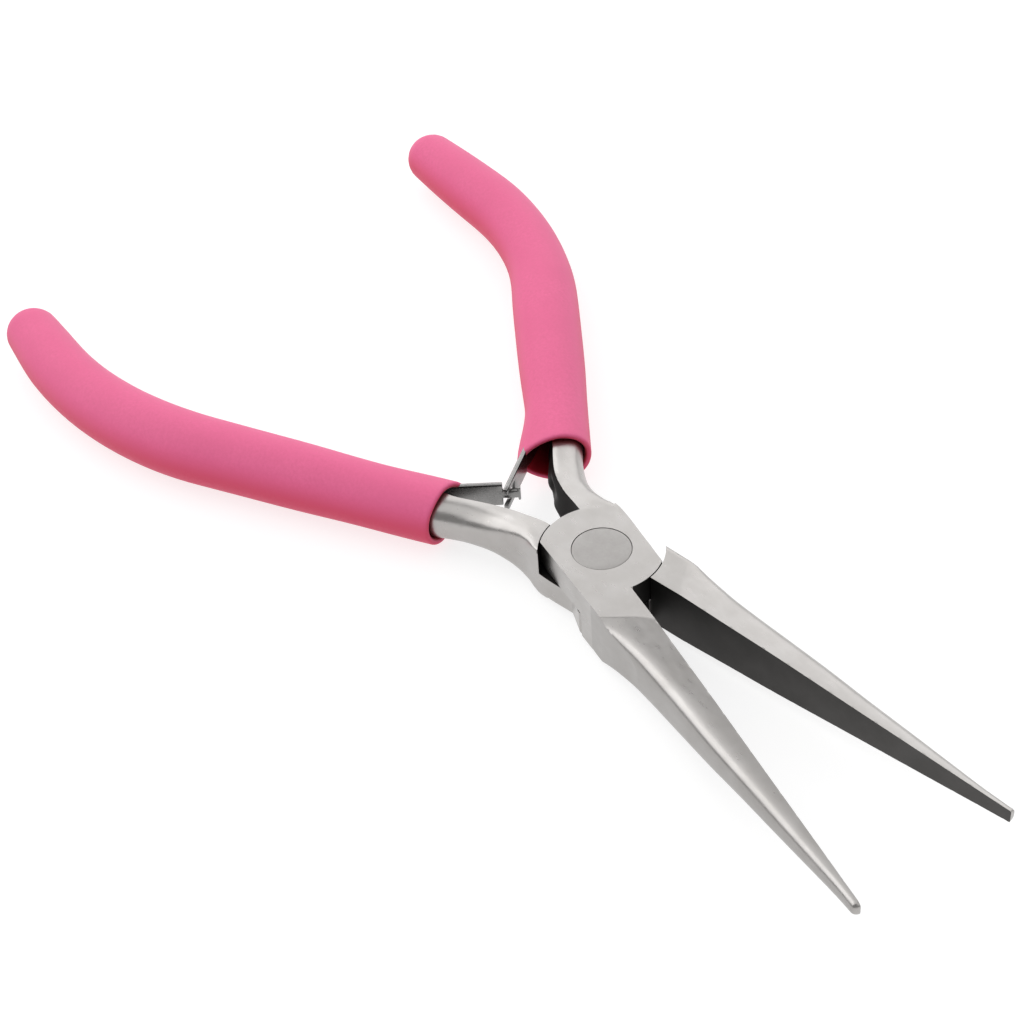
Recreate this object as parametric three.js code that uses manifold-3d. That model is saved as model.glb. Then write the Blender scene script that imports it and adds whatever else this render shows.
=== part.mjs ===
// Long-nose jewellery pliers with a lap joint, two leaf springs and soft sleeves on the handles.
//
// Frame: millimetres, +Z up along the pivot axis, +X towards the jaw tips along the line that
// halves the open jaws. The origin is on the pivot axis, on the underside of the joint.
//
// Each half of the tool is drawn as if the jaws were shut, with its jaw below the X axis and its
// handle above it, and with z = 0 on the middle plane of the joint. The upper half is then swung
// open as it is. The lower half is the same forging turned over about X, and swung the other way.

import * as THREE from 'three';
import { mergeVertices } from 'three/addons/utils/BufferGeometryUtils.js';
import Module from 'manifold-3d';

const wasm = await Module();
wasm.setup();

// ---------------------------------------------------------------- driving dimensions

const HALF_OPENING = 10.2; // degrees that each jaw stands off the X axis
const MIDDLE = 3.7; // half of the joint's thickness
const LAP_GAP = 0.1; // between the two lap faces
const JAW_FACE = 0.05; // each jaw's face stands this far back from the closing line

const JOINT_SIDE = 5.7; // the joint's straight side, from the pivot axis
const JAW_SIDE = 5.45; // the same side where it reaches the jaw
const JAW_SIDE_X = 9.5;
const SHOULDER_RADIUS = 7.6; // round end of a lap
const SHOULDER_CLEARANCE = 0.15; // between a lap and the other half's shoulder

const JAW_TIP = 58.3; // pivot axis to the jaw's tip
const JAW_FLAT_END = 11.8; // where the joint's flat top gives way to the round jaw
const JAW_HALF_HEIGHT = { root: 3.6, tip: 0.95 };
const JAW_WIDTH = { root: 5.6, tip: 1 };
const JAW_ROUNDING_LENGTH = 6; // square section to round section
const JAW_SIDE_BLEND = { from: 8.5, to: 16 }; // joint's side to the jaw's own width

const RIVET_RADIUS = 3.68;
const RIVET_SHANK_RADIUS = 2.6;
const RIVET_RIM = 0.5; // straight edge of each countersunk head
const RIVET_CONE = 1.4; // depth of the cone under each head
const RUNNING_CLEARANCE = 0.05;

// Superellipse powers of the sections: 2 is an ellipse, and more is squarer.
const SECTION = { square: 9, jaw: 2.4, tang: 2.3, sleeve: 2, mouth: 2.6 };

// The neck runs along these points, from inside the joint to the handle's spine.
const NECK_LINE = [
  new THREE.Vector2(-5, 1.9),
  new THREE.Vector2(-8, 1.9),
  new THREE.Vector2(-12, 2.05),
  new THREE.Vector2(-16, 2.95),
];
const NECK_WIDTH = { joint: 4.1, waist: 2.95 }; // neck line to the outer side
const NECK_WAIST = -12;
const NECK_ROOT = { from: -6.4, to: -7.8, outer: 5.5, inner: 0.9 }; // where the plate meets the neck
const NECK_RIDGE = 0.75; // forging ridge along the middle of the neck's inner face
const NECK_RIDGE_END = -27;

// Each handle's spine is straight out from the neck, then a round bend, then a straight end. Its
// angles are from the X axis. Its sleeve starts at mouthX and swells there towards the springs.
const SPINE_START = new THREE.Vector2(-21.7, 5.24);
const HANDLE = {
  upper: {
    angle: 22.7, bendX: -53.8, bendRadius: 45.5, endAngle: -9.4, endX: -93.3, mouthX: -21.1, mouthFlare: 2.3,
  },
  lower: {
    angle: 19.4, bendX: -54.5, bendRadius: 54.5, endAngle: -15.4, endX: -93.3, mouthX: -22, mouthFlare: 1.6,
  },
};

const TANG_FLAT = 1; // the tang's inner face lies this far inside the spine
const TANG_FLAT_END = { from: -40, to: -48 }; // the flat gives way to a round section here
const TANG_CLEARANCE = 0.3; // between the tang and the sleeve
const TANG_END_GAP = 3; // from the tang's end to the spine's end
const GRIP_WALL = 1.1;
const GRIP_RADIUS = { mouth: 4.1, palm: 4.6, end: 3.9 };
const GRIP_PALM_X = -53; // where the sleeve is thickest
const MOUTH_FLARE_LENGTH = 10;
const MOUTH_HALF_HEIGHT = 4.1;
const MOUTH_THINNING = 0.7; // the wall at the mouth as a share of GRIP_WALL
const MOUTH_BOW = { radius: 15, shift: 1.2, reach: 9 }; // the rim's bow in plan, and its middle's shift

const LEAF_THICKNESS = 0.6;
const LEAF_HEIGHT = 3.5;
const LEAF_CROSSING = new THREE.Vector2(-18.75, -0.5); // where the leaves hook into each other
const LEAF_ANGLE = 54; // degrees between each leaf and the X axis
const LEAF_BEND_RADIUS = 10;
const LEAF_ROOT_LENGTH = 6; // flat against the tang, behind the bend
const LEAF_SEAT_GAP = 0.12;
const FORK = { reach: 1.4, slotHeight: 1.7, slotDepth: 1.6 };
const TONGUE = { reach: 1.7, height: 1.2, headHeight: 2, headLength: 0.5, neckLength: 0.8, taper: 0.3 };
const LEAF_RIVET = { radius: 0.6, headRadius: 1.2, headHeight: 0.45, depth: 1.6, clearance: 0.1 };

// ---------------------------------------------------------------- materials

const steel = new THREE.MeshStandardMaterial({ color: 0xb9b6b2, roughness: 0.38, metalness: 1 });
const rivetSteel = new THREE.MeshStandardMaterial({ color: 0xa9a6a2, roughness: 0.42, metalness: 1 });
const springSteel = new THREE.MeshStandardMaterial({ color: 0x9a9894, roughness: 0.3, metalness: 1 });
const pinkVinyl = new THREE.MeshStandardMaterial({ color: 0xe8669a, roughness: 0.6, metalness: 0 });

// ---------------------------------------------------------------- geometry helpers

const radians = THREE.MathUtils.degToRad;
const mix = THREE.MathUtils.lerp;
const ease = THREE.MathUtils.smoothstep;

// A geometry with only positions, and with shared corners joined.
function welded(geometry) {
  geometry.deleteAttribute('normal');
  geometry.deleteAttribute('uv');
  return mergeVertices(geometry, 1e-5);
}

// A welded, closed geometry as a solid for cutting and joining.
function solid(geometry) {
  const vertProperties = Float32Array.from(geometry.attributes.position.array);
  const triVerts = Uint32Array.from(geometry.index.array);
  return new wasm.Manifold(new wasm.Mesh({ numProp: 3, vertProperties, triVerts }));
}

function part(name, body, material) {
  const mesh = body.getMesh();
  const geometry = new THREE.BufferGeometry();
  geometry.setAttribute('position', new THREE.BufferAttribute(mesh.vertProperties, 3));
  geometry.setIndex(new THREE.BufferAttribute(mesh.triVerts, 1));
  geometry.computeVertexNormals();
  const result = new THREE.Mesh(geometry, material);
  result.name = name;
  return result;
}

// An upright prism of a plan outline, from z = low to z = high.
function prism(outline, low, high) {
  const geometry = new THREE.ExtrudeGeometry(outline, {
    depth: high - low,
    bevelEnabled: false,
    curveSegments: 12,
  });
  return solid(welded(geometry.translate(0, 0, low)));
}

// A body swept along stations. Each station has a place in plan, a direction of travel, and a
// section that is a superellipse: `left` and `right` are its half widths to each side of travel.
// Where `face` is given, a flat cuts the left side that far out, and `ridge` is how far the
// middle of that flat stands proud of its edges.
function sweep(stations, sides) {
  const geometry = welded(new THREE.CylinderGeometry(1, 1, 1, sides, stations.length - 1));
  const position = geometry.attributes.position;
  for (let i = 0; i < position.count; i += 1) {
    const step = Math.round((0.5 - position.getY(i)) * (stations.length - 1));
    const station = stations[step];
    const across = position.getX(i);
    const up = position.getZ(i);
    const power = 2 / station.square;
    const width = across > 0 ? station.left : station.right;
    let side = width * Math.sign(across) * Math.abs(across) ** power;
    const height = station.height * Math.sign(up) * Math.abs(up) ** power;
    if (side > station.face) {
      side = station.face + (station.ridge ?? 0) * (1 - Math.abs(height) / station.height);
    }
    const x = station.x - side * Math.sin(station.heading);
    const y = station.y + side * Math.cos(station.heading);
    position.setXYZ(i, x, y, height);
  }
  return solid(geometry);
}

// ---------------------------------------------------------------- the handle's spine

// Points along the middle of a handle, from the neck out to its end.
function spinePoints(handle) {
  const angle = radians(handle.angle);
  const endAngle = radians(handle.endAngle);
  const bendStart = new THREE.Vector2(handle.bendX, SPINE_START.y);
  bendStart.y += (SPINE_START.x - handle.bendX) * Math.tan(angle);
  const centre = new THREE.Vector2(Math.sin(angle), Math.cos(angle))
    .multiplyScalar(-handle.bendRadius)
    .add(bendStart);
  const points = [SPINE_START.clone(), SPINE_START.clone().lerp(bendStart, 0.5)];
  const steps = 6;
  for (let i = 0; i <= steps; i += 1) {
    const turn = mix(angle, endAngle, i / steps);
    const outward = new THREE.Vector2(Math.sin(turn), Math.cos(turn));
    points.push(centre.clone().addScaledVector(outward, handle.bendRadius));
  }
  const last = points[points.length - 1];
  const run = last.x - handle.endX;
  points.push(new THREE.Vector2(handle.endX, last.y + run * Math.tan(endAngle)));
  return points;
}

// Even samples of a smooth line through plan points, each with its direction of travel.
function sampled(points, count) {
  const curve = new THREE.CatmullRomCurve3(points.map((p) => new THREE.Vector3(p.x, p.y, 0)));
  return Array.from({ length: count }, (_, i) => {
    const at = curve.getPointAt(i / (count - 1));
    const along = curve.getTangentAt(i / (count - 1));
    return { x: at.x, y: at.y, heading: Math.atan2(along.y, along.x) };
  });
}

// The sleeve's radius at a place along the spine.
function gripRadius(x) {
  if (x > GRIP_PALM_X) {
    return mix(GRIP_RADIUS.palm, GRIP_RADIUS.mouth, ease(x, GRIP_PALM_X, HANDLE.upper.mouthX));
  }
  return mix(GRIP_RADIUS.palm, GRIP_RADIUS.end, ease(-x, -GRIP_PALM_X, -HANDLE.upper.endX));
}

// ---------------------------------------------------------------- the levers

// Half-round jaw, square where it leaves the joint and tapering to a blunt tip.
function jaw() {
  const start = JOINT_SIDE;
  const steps = 18;
  const crowding = 1.2; // stations are closer together near the joint
  const bulge = 1.2; // the jaw tapers slowly at first
  const stations = [];
  for (let i = 0; i <= steps; i += 1) {
    const x = start + (JAW_TIP - start) * (i / steps) ** crowding;
    const taper = Math.max(0, (x - JAW_FLAT_END) / (JAW_TIP - JAW_FLAT_END)) ** bulge;
    const rounding = ease(x, JAW_FLAT_END - 1, JAW_FLAT_END + JAW_ROUNDING_LENGTH);
    const width = mix(JAW_WIDTH.root, JAW_WIDTH.tip, taper);
    const height = mix(JAW_HALF_HEIGHT.root, JAW_HALF_HEIGHT.tip, taper);
    stations.push({
      x,
      y: 0,
      heading: 0,
      left: 1,
      right: mix(JAW_SIDE, width, ease(x, JAW_SIDE_BLEND.from, JAW_SIDE_BLEND.to)),
      face: -JAW_FACE,
      height: taper > 0 ? height : MIDDLE,
      square: mix(SECTION.square, SECTION.jaw, rounding),
    });
  }
  return sweep(stations, 24);
}

// Flat plate round the pivot, with a round end against each of the other half's shoulders.
function jointPlate() {
  const corner = Math.asin(JOINT_SIDE / SHOULDER_RADIUS);
  const outline = new THREE.Shape();
  outline.moveTo(JAW_SIDE_X, -JAW_FACE);
  outline.absarc(0, 0, SHOULDER_RADIUS, 0, corner, false);
  outline.lineTo(NECK_ROOT.from, JOINT_SIDE);
  outline.lineTo(NECK_ROOT.to, NECK_ROOT.outer);
  outline.lineTo(NECK_ROOT.to, NECK_ROOT.inner);
  const lapStart = Math.PI - Math.asin(NECK_ROOT.inner / SHOULDER_RADIUS);
  outline.absarc(0, 0, SHOULDER_RADIUS, lapStart, Math.PI + corner, false);
  outline.lineTo(JAW_SIDE_X, -JAW_SIDE);
  return prism(outline, -MIDDLE, MIDDLE);
}

// Neck and tang: square at the joint, half round outside it, and round inside the sleeve.
function neckAndTang(handle) {
  const places = sampled([...NECK_LINE, ...spinePoints(handle)], 36);
  const end = handle.endX + TANG_END_GAP;
  const stations = places.filter((place) => place.x > end).map((place) => {
    const sleeve = gripRadius(place.x) - GRIP_WALL - TANG_CLEARANCE;
    const outwards = (from, to) => ease(-place.x, -from, -to);
    const neck = mix(NECK_WIDTH.joint, NECK_WIDTH.waist, outwards(NECK_LINE[0].x, NECK_WAIST));
    const ridge = outwards(NECK_ROOT.from, -10) * (1 - outwards(SPINE_START.x, NECK_RIDGE_END));
    return {
      ...place,
      left: sleeve,
      right: mix(neck, sleeve, outwards(NECK_WAIST, -20)),
      face: mix(TANG_FLAT, sleeve, outwards(TANG_FLAT_END.from, TANG_FLAT_END.to)),
      ridge: NECK_RIDGE * ridge,
      height: mix(MIDDLE, sleeve, outwards(NECK_ROOT.to, -18)),
      square: mix(SECTION.square, SECTION.tang, outwards(NECK_ROOT.from, -16)),
    };
  });
  return sweep(stations, 20);
}

// Countersunk hole for the pivot rivet, or the rivet itself when the clearance is zero.
function rivetBody(clearance) {
  const head = RIVET_RADIUS + clearance;
  const shank = RIVET_SHANK_RADIUS + clearance;
  const profile = [
    new THREE.Vector2(0, -MIDDLE),
    new THREE.Vector2(head, -MIDDLE),
    new THREE.Vector2(head, -MIDDLE + RIVET_RIM),
    new THREE.Vector2(shank, -MIDDLE + RIVET_RIM + RIVET_CONE),
    new THREE.Vector2(shank, MIDDLE - RIVET_RIM - RIVET_CONE),
    new THREE.Vector2(head, MIDDLE - RIVET_RIM),
    new THREE.Vector2(head, MIDDLE),
    new THREE.Vector2(0, MIDDLE),
  ];
  return solid(welded(new THREE.LatheGeometry(profile, 48).rotateX(Math.PI / 2)));
}

// Room for the other half's lap, below the middle plane.
function lapCut() {
  const radius = SHOULDER_RADIUS + SHOULDER_CLEARANCE;
  const depth = 2 * MIDDLE;
  const geometry = new THREE.CylinderGeometry(radius, radius, depth, 48).rotateX(Math.PI / 2);
  return solid(welded(geometry.translate(0, 0, LAP_GAP / 2 - depth / 2)));
}

function lever(name, handle) {
  const body = jaw()
    .add(jointPlate())
    .add(neckAndTang(handle))
    .subtract(lapCut())
    .subtract(rivetBody(RUNNING_CLEARANCE))
    .subtract(leafRivetHole(handle));
  return part(name, body, steel);
}

// ---------------------------------------------------------------- the leaf springs

// A point turned about the pivot.
function turned(point, degrees) {
  return point.clone().rotateAround(new THREE.Vector2(), radians(degrees));
}

// The leaf's middle line in plan: a root on the tang, a bend, and a straight reach to the tip.
function leafLine(handle, crossing, reach) {
  const root = radians(-handle.angle);
  const straight = radians(HALF_OPENING - LEAF_ANGLE);
  const rootWay = new THREE.Vector2(Math.cos(root), Math.sin(root));
  const straightWay = new THREE.Vector2(Math.cos(straight), Math.sin(straight));
  const seat = TANG_FLAT + LEAF_SEAT_GAP + LEAF_THICKNESS / 2;
  const onRoot = SPINE_START.clone().add(new THREE.Vector2(rootWay.y, -rootWay.x).multiplyScalar(seat));
  const gap = crossing.clone().sub(onRoot);
  const meet = onRoot.clone().addScaledVector(
    rootWay,
    gap.cross(straightWay) / rootWay.cross(straightWay),
  );
  const turn = root - straight;
  const tangent = LEAF_BEND_RADIUS * Math.tan(turn / 2);
  const bendStart = meet.clone().addScaledVector(rootWay, -tangent);
  const points = [bendStart.clone().addScaledVector(rootWay, -LEAF_ROOT_LENGTH), bendStart];
  const centre = bendStart.clone().add(
    new THREE.Vector2(rootWay.y, -rootWay.x).multiplyScalar(LEAF_BEND_RADIUS),
  );
  const steps = 6;
  for (let i = 1; i <= steps; i += 1) {
    points.push(bendStart.clone().rotateAround(centre, (-turn * i) / steps));
  }
  points.push(crossing.clone().addScaledVector(straightWay, reach));
  return { points, straightWay, rootWay, bendStart };
}

// A strip of the leaf's thickness along its middle line, standing on edge.
function strip(points) {
  const left = [];
  const right = [];
  points.forEach((point, i) => {
    const before = points[Math.max(i - 1, 0)];
    const after = points[Math.min(i + 1, points.length - 1)];
    const way = after.clone().sub(before).normalize();
    const normal = new THREE.Vector2(-way.y, way.x).multiplyScalar(LEAF_THICKNESS / 2);
    left.push(point.clone().add(normal));
    right.unshift(point.clone().sub(normal));
  });
  return prism(new THREE.Shape([...left, ...right]), -LEAF_HEIGHT / 2, LEAF_HEIGHT / 2);
}

// A side view cut through the leaf near its tip. Its first axis runs along the leaf from the
// crossing point, and its second is Z.
function tipCut(outline, crossing, way) {
  const width = 8 * LEAF_THICKNESS;
  const geometry = new THREE.ExtrudeGeometry(outline, { depth: width, bevelEnabled: false });
  geometry.translate(0, 0, -width / 2);
  const across = new THREE.Vector3(way.y, -way.x, 0);
  const along = new THREE.Vector3(way.x, way.y, 0);
  const basis = new THREE.Matrix4().makeBasis(along, new THREE.Vector3(0, 0, 1), across);
  basis.setPosition(crossing.x, crossing.y, 0);
  return solid(welded(geometry.applyMatrix4(basis)));
}

// The lower leaf narrows to a tongue with a small head.
function tongueCut(crossing, way, sign) {
  const neck = (sign * TONGUE.height) / 2;
  const head = (sign * TONGUE.headHeight) / 2;
  const full = (sign * LEAF_HEIGHT) / 2;
  const past = (sign * (LEAF_HEIGHT + 1)) / 2;
  const headStart = TONGUE.reach - TONGUE.headLength;
  const outline = new THREE.Shape([
    new THREE.Vector2(-TONGUE.neckLength - TONGUE.taper, full),
    new THREE.Vector2(-TONGUE.neckLength, neck),
    new THREE.Vector2(headStart, neck),
    new THREE.Vector2(headStart, head),
    new THREE.Vector2(TONGUE.reach + 1, head),
    new THREE.Vector2(TONGUE.reach + 1, past),
    new THREE.Vector2(-TONGUE.neckLength - TONGUE.taper, past),
  ]);
  return tipCut(outline, crossing, way);
}

// The upper leaf ends in a fork that the tongue passes through.
function forkCut(crossing, way) {
  const slot = FORK.slotHeight / 2;
  const outline = new THREE.Shape([
    new THREE.Vector2(-FORK.slotDepth, -slot),
    new THREE.Vector2(FORK.reach + 1, -slot),
    new THREE.Vector2(FORK.reach + 1, slot),
    new THREE.Vector2(-FORK.slotDepth, slot),
  ]);
  return tipCut(outline, crossing, way);
}

// A round bar across the root of the leaf, through it and into the tang.
function crossBar(handle, crossing, radius, inner, outer) {
  const line = leafLine(handle, crossing, 0);
  const middle = line.bendStart.clone().addScaledVector(line.rootWay, -LEAF_ROOT_LENGTH / 2);
  const inward = new THREE.Vector3(line.rootWay.y, -line.rootWay.x, 0);
  const geometry = new THREE.CylinderGeometry(radius, radius, outer - inner, 12);
  geometry.translate(0, (inner + outer) / 2, 0);
  const turn = new THREE.Quaternion().setFromUnitVectors(new THREE.Vector3(0, 1, 0), inward);
  geometry.applyQuaternion(turn);
  return solid(welded(geometry.translate(middle.x, middle.y, 0)));
}

// Where the leaves cross, in the frame of the half that owns this handle.
function crossingFor(handle) {
  const side = handle === HANDLE.upper ? 1 : -1;
  return turned(new THREE.Vector2(LEAF_CROSSING.x, side * LEAF_CROSSING.y), HALF_OPENING);
}

function leafRivetHole(handle) {
  const reach = LEAF_THICKNESS / 2 + LEAF_SEAT_GAP + LEAF_RIVET.depth + LEAF_RIVET.clearance;
  const radius = LEAF_RIVET.radius + LEAF_RIVET.clearance;
  return crossBar(handle, crossingFor(handle), radius, -reach, 1);
}

function leafRivet(name, handle) {
  const crossing = crossingFor(handle);
  const face = LEAF_THICKNESS / 2;
  const headBase = face + LEAF_RIVET.clearance;
  const foot = -face - LEAF_SEAT_GAP - LEAF_RIVET.depth;
  const shank = crossBar(handle, crossing, LEAF_RIVET.radius, foot, headBase + 0.1);
  const headTop = headBase + LEAF_RIVET.headHeight;
  const head = crossBar(handle, crossing, LEAF_RIVET.headRadius, headBase, headTop);
  return part(name, shank.add(head), springSteel);
}

function tongueLeaf(name, handle) {
  const crossing = crossingFor(handle);
  const line = leafLine(handle, crossing, TONGUE.reach);
  const body = strip(line.points)
    .subtract(tongueCut(crossing, line.straightWay, 1))
    .subtract(tongueCut(crossing, line.straightWay, -1))
    .subtract(leafRivetHole(handle));
  return part(name, body, springSteel);
}

function forkLeaf(name, handle) {
  const crossing = crossingFor(handle);
  const line = leafLine(handle, crossing, FORK.reach);
  const body = strip(line.points)
    .subtract(forkCut(crossing, line.straightWay))
    .subtract(leafRivetHole(handle));
  return part(name, body, springSteel);
}

// ---------------------------------------------------------------- the sleeves

// Direction of a handle's spine away from the joint, and where its sleeve starts on it.
function mouthPlace(handle) {
  const angle = radians(handle.angle);
  const along = new THREE.Vector2(-Math.cos(angle), Math.sin(angle));
  const mouth = SPINE_START.clone().addScaledVector(along, (handle.mouthX - SPINE_START.x) / along.x);
  return { along, mouth };
}

// Outer skin, or the bore when it is drawn one wall inside and run on past the mouth.
function sleeveBody(handle, wall) {
  const { along, mouth } = mouthPlace(handle);
  const start = wall > 0 ? mouth.clone().addScaledVector(along, -1) : mouth;
  const places = sampled([start, ...spinePoints(handle).slice(1)], 26);
  const stations = places.map((place) => {
    const fromMouth = Math.hypot(place.x - mouth.x, place.y - mouth.y);
    return sleeveSection(place, wall, 1 - ease(fromMouth, 0, MOUTH_FLARE_LENGTH), handle.mouthFlare);
  });
  const last = places[places.length - 1];
  const radius = gripRadius(last.x) - wall;
  const rounds = 3;
  for (let i = 1; i <= rounds; i += 1) {
    const rise = (Math.PI / 2) * (i / (rounds + 0.4)); // stops short of a point
    const size = radius * Math.cos(rise);
    stations.push({
      x: last.x + radius * Math.sin(rise) * Math.cos(last.heading),
      y: last.y + radius * Math.sin(rise) * Math.sin(last.heading),
      heading: last.heading,
      left: size,
      right: size,
      height: size,
      square: SECTION.sleeve,
    });
  }
  return sweep(stations, wall > 0 ? 16 : 20);
}

// nearness runs from 0 along the sleeve to 1 at the mouth.
function sleeveSection(place, wall, nearness, mouthFlare) {
  const inset = wall * mix(1, MOUTH_THINNING, nearness);
  const radius = gripRadius(place.x) - inset;
  return {
    ...place,
    left: radius + mouthFlare * nearness,
    right: radius,
    height: mix(radius, MOUTH_HALF_HEIGHT - inset, nearness),
    square: mix(SECTION.sleeve, SECTION.mouth, nearness),
  };
}

// What is cut off the open end, so that the sides of the rim stand back from its top and bottom.
function mouthCut(handle) {
  const { radius, shift, reach } = MOUTH_BOW;
  const { mouth } = mouthPlace(handle);
  const span = Math.asin(reach / radius);
  const outline = new THREE.Shape();
  outline.absarc(-radius, -shift, radius, -span, span, false);
  outline.lineTo(reach, reach - shift);
  outline.lineTo(reach, -reach - shift);
  return prism(outline, -reach, reach).rotate([0, 0, -handle.angle]).translate([mouth.x, mouth.y, 0]);
}

function grip(name, handle) {
  const body = sleeveBody(handle, 0)
    .subtract(sleeveBody(handle, GRIP_WALL))
    .subtract(mouthCut(handle));
  return part(name, body, pinkVinyl);
}

// ---------------------------------------------------------------- the whole tool

const upper = new THREE.Group();
upper.rotation.z = radians(-HALF_OPENING);
upper.add(
  lever('lever_a', HANDLE.upper),
  forkLeaf('leaf_spring_a', HANDLE.upper),
  leafRivet('leaf_rivet_a', HANDLE.upper),
  grip('grip_a', HANDLE.upper),
  part('pivot_rivet', rivetBody(0), rivetSteel),
);

const turnedOver = new THREE.Group();
turnedOver.rotation.x = Math.PI;
turnedOver.add(
  lever('lever_b', HANDLE.lower),
  tongueLeaf('leaf_spring_b', HANDLE.lower),
  leafRivet('leaf_rivet_b', HANDLE.lower),
  grip('grip_b', HANDLE.lower),
);
const lower = new THREE.Group();
lower.rotation.z = radians(HALF_OPENING);
lower.add(turnedOver);

const pliers = new THREE.Group();
pliers.position.z = MIDDLE;
pliers.add(upper, lower);

export default pliers;
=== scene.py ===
import math

import bmesh
import bpy
import numpy as np
from mathutils import Matrix, Vector


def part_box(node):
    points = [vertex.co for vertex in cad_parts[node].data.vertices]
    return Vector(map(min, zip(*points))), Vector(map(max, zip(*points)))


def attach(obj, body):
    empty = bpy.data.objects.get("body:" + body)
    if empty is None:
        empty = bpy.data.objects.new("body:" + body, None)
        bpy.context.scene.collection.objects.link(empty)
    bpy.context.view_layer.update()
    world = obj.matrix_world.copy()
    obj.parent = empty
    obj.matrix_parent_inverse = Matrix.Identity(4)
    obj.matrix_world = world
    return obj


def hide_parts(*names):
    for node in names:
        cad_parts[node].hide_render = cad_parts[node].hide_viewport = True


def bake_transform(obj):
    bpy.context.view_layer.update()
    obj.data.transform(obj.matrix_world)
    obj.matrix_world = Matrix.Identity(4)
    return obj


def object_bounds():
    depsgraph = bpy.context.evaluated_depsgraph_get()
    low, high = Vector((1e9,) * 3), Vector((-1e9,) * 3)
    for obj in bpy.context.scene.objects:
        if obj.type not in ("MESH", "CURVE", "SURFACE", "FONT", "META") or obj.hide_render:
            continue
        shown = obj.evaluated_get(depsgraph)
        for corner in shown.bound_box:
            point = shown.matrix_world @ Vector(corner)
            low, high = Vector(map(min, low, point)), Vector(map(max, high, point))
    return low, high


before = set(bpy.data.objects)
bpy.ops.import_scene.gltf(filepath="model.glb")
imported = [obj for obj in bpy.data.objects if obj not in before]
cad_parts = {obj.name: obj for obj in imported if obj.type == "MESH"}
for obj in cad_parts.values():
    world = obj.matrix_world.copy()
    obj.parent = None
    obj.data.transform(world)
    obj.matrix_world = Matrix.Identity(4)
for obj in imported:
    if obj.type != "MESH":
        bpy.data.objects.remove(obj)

cad_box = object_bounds()

# Long-nose jewellery pliers: the looks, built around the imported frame.
#
# Lengths are in millimetres until a mesh is made. Each half of the tool is shaped in the frame of
# the shut tool: +X to the jaw tips, its own jaw below the X axis and its own handle above it, and
# z = 0 on the middle plane of the joint. place() takes it from there to the open frame of the CAD.

# ---------------------------------------------------------------- driving dimensions

MM = 0.001
UPPER, LOWER = 1, -1
HALF_OPENING = math.radians(10.2)  # each jaw stands this far off the X axis in the frame

rivet_low, rivet_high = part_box("pivot_rivet")
MIDDLE = (rivet_low.z + rivet_high.z) / 2 / MM
RIVET_RADIUS = rivet_high.x / MM
JAW_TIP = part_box("lever_a")[1].x / MM / math.cos(HALF_OPENING)

LAP_GAP = 0.1
JAW_FACE = 0.05
SHOULDER_RADIUS = 7.6
SHOULDER_CLEARANCE = 0.15
RIVET_CLEARANCE = 0.045

CREASE = {UPPER: 10.2, LOWER: 8.9}  # the joint's flat top gives way to the round jaw from here
CREASE_FADE = 2  # how far the joint's squareness dies away along the jaw
CREASE_WIDER, CREASE_HIGHER, CREASE_SQUARER = 0.5, 0.7, 4
JOINT_SIDE = 5.85  # pivot axis to the plate's straight side on the jaw's outer side
JOINT_SIDE_LEAN = 0.03
JOINT_SIDE_WAIST = 0.55  # the side draws in by this much where the jaw begins
JOINT_SIDE_WAIST_LENGTH = 7
JOINT_INNER = 0.9  # pivot axis to the plate's edge beside the neck
JOINT_BACK = -6.4
LAP_EAR = {UPPER: 0, LOWER: 0.645}  # the lower lap widens forwards, to lie flush when open
LAP_EAR_X = -0.14
JAW = {
    UPPER: {"tip": JAW_TIP - 0.25, "tip_radius": 0.6},
    LOWER: {"tip": JAW_TIP + 0.55, "tip_radius": 0.25},
}
JAW_STEEPNESS = 1.05  # of the tapering jaw's field, so that its tip rounds evenly
JAW_TOP_TILT = 0.08  # the jaw's top falls away towards its outer side
EDGE_RADIUS = {UPPER: 0.0, LOWER: 0.7}  # along the outer sides of the joint
LEVER_CELL, QUICK_CELL = 0.21, 0.3  # the grid that the levers are meshed on
LEVER_LOW, LEVER_HIGH = (-91.5, -6.63, -4.13), (JAW_TIP + 0.6, 26.5, 4.13)
NECK_INSET = {UPPER: 0.0, LOWER: 0.35}  # the lower neck is a little slimmer inside

SPINE_START = (-21.7, 5.24)
HANDLE = {
    UPPER: {"angle": 22.7, "bend_x": -53.8, "bend_radius": 45.5, "end_angle": -9.4, "end_x": -93.3},
    LOWER: {"angle": 19.4, "bend_x": -54.5, "bend_radius": 54.5, "end_angle": -15.4, "end_x": -93.3},
}
TANG_RADIUS = 2.85
TANG_FACE = 1.0
TANG_END = -90.3
NECK_FRONT = -4.5
NECK_TO_TANG = (19.7, 23.7)  # the neck turns into the tang over this stretch behind the pivot

LEAF_THICKNESS = 0.6
LEAF_HEIGHT = 3.5
LEAF_CROSSING = (-18.75, -0.5)
LEAF_ANGLE = math.radians(54)
LEAF_BEND_RADIUS = 10
LEAF_ROOT_LENGTH = 6
LEAF_SEAT_GAP = 0.12
LEAF_EDGE_ROUNDING = 0.12
TONGUE_HALF_HEIGHT, SLOT_HALF_HEIGHT, HEAD_HALF_HEIGHT = 0.6, 0.85, 1.0


# ---------------------------------------------------------------- numbers and curves

def smooth(value, low, high):
    """0 below low, 1 above high, and an S curve between."""
    t = np.clip((value - low) / (high - low), 0, 1)
    return t * t * (3 - 2 * t)


def mix(a, b, t):
    return a + (b - a) * t


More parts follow.
